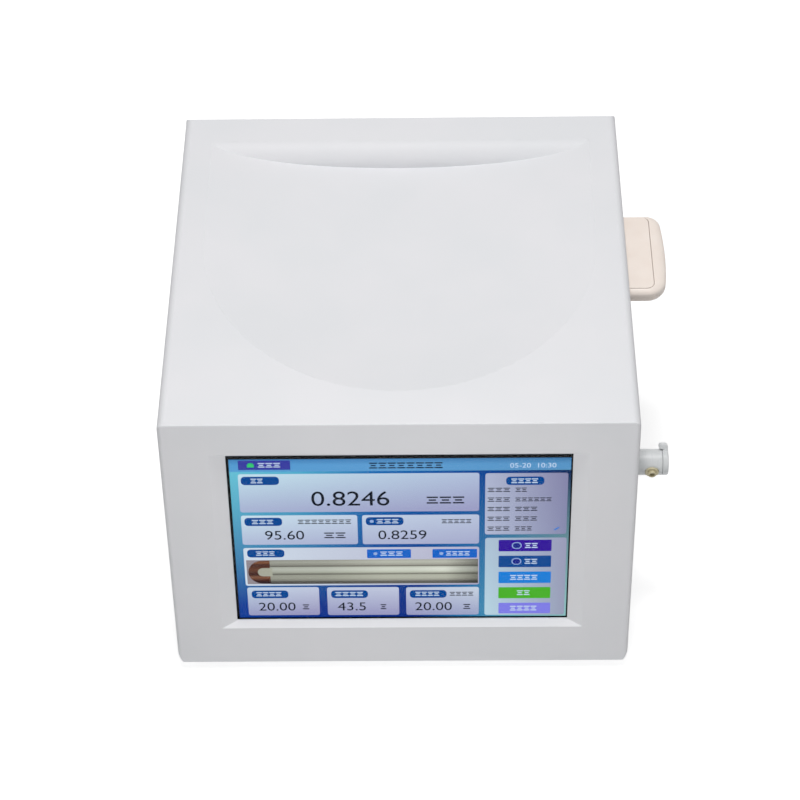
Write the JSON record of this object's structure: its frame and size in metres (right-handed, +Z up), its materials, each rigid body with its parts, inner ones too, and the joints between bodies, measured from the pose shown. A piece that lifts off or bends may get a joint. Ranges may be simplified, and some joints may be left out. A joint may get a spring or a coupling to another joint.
{
  "type": "benchtop density meter",
  "caption": "Bench instrument with a scooped moulded case, leaning touch screen, side sample port with turning cap, side air filter box, and oscillating U-tube cell inside.",
  "frame": {"origin": "on the bench, at the centre of the rectangle of the four rubber feet, under the case's middle plane", "axes": "+Z up, -Y towards the user and the screen, +X towards the wall with the sample port"},
  "size_m": [0.328, 0.3396, 0.195],
  "materials": {
    "case_plastic": "satin moulded",
    "panel_paint": "fine texture powder coat",
    "cream_plastic": "satin moulded",
    "port_plastic": "turned acetal, satin",
    "peek": "turned PEEK, satin",
    "foot_rubber": "matt",
    "foam": "closed-cell foam",
    "filter_felt": "felt",
    "touch_glass": "polished, black printed border",
    "lcd": "lit display",
    "clear_glass": "clear borosilicate",
    "clear_hose": "translucent PTFE",
    "zinc_steel": "zinc-plated sheet",
    "screw_steel": "stainless, turned",
    "aluminium": "milled",
    "brass": "turned",
    "copper": "enamelled copper winding",
    "ceramic": "matt ceramic",
    "black_plastic": "moulded, fine texture",
    "circuit_board": "solder mask",
    "ribbon": "flat film cable"
  },
  "bodies": {
    "case": {"housing_shell": "case_plastic", "base_plate": "zinc_steel", "base_screws": "screw_steel", "rubber_feet": "foot_rubber", "foot_screws": "screw_steel", "rear_panel": "panel_paint", "rear_screws": "screw_steel", "waste_spigot": "port_plastic", "display_gasket": "foam", "touch_glass": "touch_glass", "lcd_module": "lcd", "display_bracket": "zinc_steel", "bracket_screws": "screw_steel", "main_board": "circuit_board", "board_standoffs": "brass", "display_ribbon": "ribbon", "port_body": "port_plastic", "bulkhead_nuts": "port_plastic", "inlet_fitting": "peek", "filter_base": "cream_plastic", "filter_cover": "cream_plastic", "filter_lid_pin": "screw_steel", "filter_pad": "filter_felt", "filter_screws": "screw_steel", "cell_posts": "aluminium", "cell_dampers": "foot_rubber", "heat_sink": "aluminium", "peltier_modules": "ceramic", "cell_block": "aluminium", "cell_jacket": "foam", "cell_cover": "aluminium", "cell_window": "clear_glass", "tube_seat": "screw_steel", "u_tube": "clear_glass", "tube_magnet": "screw_steel", "drive_coil": "copper", "camera_hood": "black_plastic", "camera_board": "circuit_board", "camera_lens": "black_plastic", "cell_light": "ceramic", "pump_bracket": "zinc_steel", "pump_motor": "zinc_steel", "pump_head": "black_plastic", "air_pump": "black_plastic", "liquid_hoses": "clear_hose", "air_hoses": "clear_hose", "fan_frame": "black_plastic", "power_supply": "zinc_steel", "control_board": "circuit_board", "mains_inlet": "black_plastic", "data_ports": "zinc_steel"},
    "port_cap": {"port_cap": "port_plastic"},
    "filter_lid": {"filter_lid": "cream_plastic"},
    "fan_rotor": {"fan_rotor": "black_plastic"},
    "pump_rotor": {"pump_rotor": "port_plastic"},
    "pump_roller_1": {"pump_roller_1": "aluminium"},
    "pump_roller_2": {"pump_roller_2": "aluminium"},
    "pump_roller_3": {"pump_roller_3": "aluminium"},
    "fuse_drawer": {"fuse_drawer": "black_plastic"},
    "power_rocker": {"power_rocker": "black_plastic"}
  },
  "joints": [
    {"name": "port_cap_turn", "type": "hinge", "parent": "case", "child": "port_cap", "pos_m": [0.17, -0.08268, 0.1175], "axis": [1, 0, 0], "range_deg": [0, 90]},
    {"name": "filter_lid_swing", "type": "hinge", "parent": "case", "child": "filter_lid", "pos_m": [0.1532, 0.05032, 0.1728], "axis": [0, -1, 0], "range_deg": [0, 80]},
    {"name": "fan_spin", "type": "hinge", "parent": "case", "child": "fan_rotor", "pos_m": [0.02, 0.15132, 0.07], "axis": [0, 1, 0], "continuous": true},
    {"name": "pump_spin", "type": "hinge", "parent": "case", "child": "pump_rotor", "pos_m": [0.09, 0.04832, 0.045], "axis": [0, 1, 0], "continuous": true},
    {"name": "roller_1_spin", "type": "hinge", "parent": "pump_rotor", "child": "pump_roller_1", "pos_m": [0.09, 0.04832, 0.0545], "axis": [0, 1, 0], "continuous": true},
    {"name": "roller_2_spin", "type": "hinge", "parent": "pump_rotor", "child": "pump_roller_2", "pos_m": [0.08177, 0.04832, 0.04025], "axis": [0, 1, 0], "continuous": true},
    {"name": "roller_3_spin", "type": "hinge", "parent": "pump_rotor", "child": "pump_roller_3", "pos_m": [0.09823, 0.04832, 0.04025], "axis": [0, 1, 0], "continuous": true},
    {"name": "fuse_drawer_slide", "type": "slide", "parent": "case", "child": "fuse_drawer", "axis": [0, 1, 0], "range_m": [0, 0.016]},
    {"name": "power_rocker_tilt", "type": "hinge", "parent": "case", "child": "power_rocker", "pos_m": [-0.098, 0.15982, 0.065], "axis": [-1, 0, 0], "range_deg": [0, 16]}
  ],
  "couplings": [
    {"joint": "roller_1_spin", "follows": "pump_spin", "ratio": -3.375},
    {"joint": "roller_2_spin", "follows": "pump_spin", "ratio": -3.375},
    {"joint": "roller_3_spin", "follows": "pump_spin", "ratio": -3.375}
  ]
}
